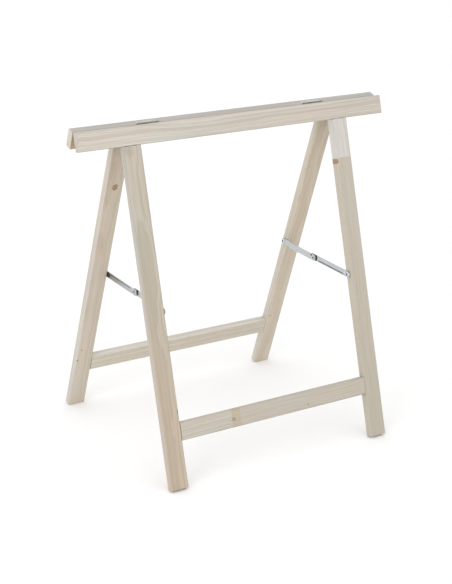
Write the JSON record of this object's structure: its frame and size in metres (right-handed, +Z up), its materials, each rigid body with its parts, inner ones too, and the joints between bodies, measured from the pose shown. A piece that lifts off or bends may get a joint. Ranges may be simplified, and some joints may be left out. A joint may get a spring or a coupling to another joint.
{
  "type": "folding sawhorse",
  "caption": "Folding timber sawhorse: flat leg frames hinged along their top rails and held open by folding steel stays.",
  "frame": {"origin": "on the floor, under the middle of the hinge line, in the open standing pose", "axes": "+X along the top rails, +Y from the front frame to the rear frame, +Z up"},
  "size_m": [0.75, 0.493, 0.7191],
  "materials": {
    "rail_wood": "pale whitewashed softwood, planed",
    "leg_wood": "pale softwood, planed, with knots",
    "stretcher_wood": "pale softwood, planed, finger-jointed",
    "dowel_wood": "plain beech dowel",
    "hinge_steel": "zinc plated, satin",
    "stay_steel": "bright zinc plated",
    "screw_steel": "bright zinc plated"
  },
  "bodies": {
    "front_frame": {"front_left_leg": "leg_wood", "front_left_rail_dowel_1": "dowel_wood", "front_left_rail_dowel_2": "dowel_wood", "front_left_stretcher_dowel_1": "dowel_wood", "front_left_stretcher_dowel_2": "dowel_wood", "front_right_leg": "leg_wood", "front_right_rail_dowel_1": "dowel_wood", "front_right_rail_dowel_2": "dowel_wood", "front_right_stretcher_dowel_1": "dowel_wood", "front_right_stretcher_dowel_2": "dowel_wood", "front_stretcher": "stretcher_wood", "front_top_rail": "rail_wood", "left_hinge_front_leaf": "hinge_steel", "left_hinge_front_screw_1": "screw_steel", "left_hinge_front_screw_2": "screw_steel", "left_hinge_pin": "hinge_steel", "left_stay_front_screw": "screw_steel", "left_stay_front_washer": "stay_steel", "right_hinge_front_leaf": "hinge_steel", "right_hinge_front_screw_1": "screw_steel", "right_hinge_front_screw_2": "screw_steel", "right_hinge_pin": "hinge_steel", "right_stay_front_screw": "screw_steel", "right_stay_front_washer": "stay_steel"},
    "rear_frame": {"left_hinge_rear_leaf": "hinge_steel", "left_hinge_rear_screw_1": "screw_steel", "left_hinge_rear_screw_2": "screw_steel", "left_stay_rear_screw": "screw_steel", "left_stay_rear_washer": "stay_steel", "rear_left_leg": "leg_wood", "rear_left_rail_dowel_1": "dowel_wood", "rear_left_rail_dowel_2": "dowel_wood", "rear_left_stretcher_dowel_1": "dowel_wood", "rear_left_stretcher_dowel_2": "dowel_wood", "rear_right_leg": "leg_wood", "rear_right_rail_dowel_1": "dowel_wood", "rear_right_rail_dowel_2": "dowel_wood", "rear_right_stretcher_dowel_1": "dowel_wood", "rear_right_stretcher_dowel_2": "dowel_wood", "rear_stretcher": "stretcher_wood", "rear_top_rail": "rail_wood", "right_hinge_rear_leaf": "hinge_steel", "right_hinge_rear_screw_1": "screw_steel", "right_hinge_rear_screw_2": "screw_steel", "right_stay_rear_screw": "screw_steel", "right_stay_rear_washer": "stay_steel"},
    "right_channel_arm": {"right_stay_channel_arm": "stay_steel", "right_stay_elbow_rivet": "screw_steel", "right_stay_elbow_spacer": "stay_steel"},
    "right_flat_arm": {"right_stay_elbow_rivet_cap": "screw_steel", "right_stay_flat_arm": "stay_steel"},
    "left_channel_arm": {"left_stay_channel_arm": "stay_steel", "left_stay_elbow_rivet": "screw_steel", "left_stay_elbow_spacer": "stay_steel"},
    "left_flat_arm": {"left_stay_elbow_rivet_cap": "screw_steel", "left_stay_flat_arm": "stay_steel"}
  },
  "joints": [
    {"name": "fold", "type": "hinge", "parent": "front_frame", "child": "rear_frame", "pos_m": [0, 0, 0.71522], "axis": [1, 0, 0], "range_deg": [-35.5, 0]},
    {"name": "right_stay_front_pivot", "type": "hinge", "parent": "front_frame", "child": "right_channel_arm", "pos_m": [0.237, -0.12575, 0.35323], "axis": [1, 0, 0], "range_deg": [0, 68.2]},
    {"name": "right_stay_rear_pivot", "type": "hinge", "parent": "rear_frame", "child": "right_flat_arm", "pos_m": [0.237, 0.12575, 0.35323], "axis": [1, 0, 0], "range_deg": [-68.2, 0]},
    {"name": "left_stay_front_pivot", "type": "hinge", "parent": "front_frame", "child": "left_flat_arm", "pos_m": [-0.237, -0.12575, 0.35323], "axis": [1, 0, 0], "range_deg": [0, 68.2]},
    {"name": "left_stay_rear_pivot", "type": "hinge", "parent": "rear_frame", "child": "left_channel_arm", "pos_m": [-0.237, 0.12575, 0.35323], "axis": [1, 0, 0], "range_deg": [-68.2, 0]}
  ],
  "couplings": [
    {"joint": "right_stay_front_pivot", "follows": "fold", "ratio": -1.9209},
    {"joint": "right_stay_rear_pivot", "follows": "fold", "ratio": 1.9209},
    {"joint": "left_stay_front_pivot", "follows": "fold", "ratio": -1.9209},
    {"joint": "left_stay_rear_pivot", "follows": "fold", "ratio": 1.9209}
  ]
}
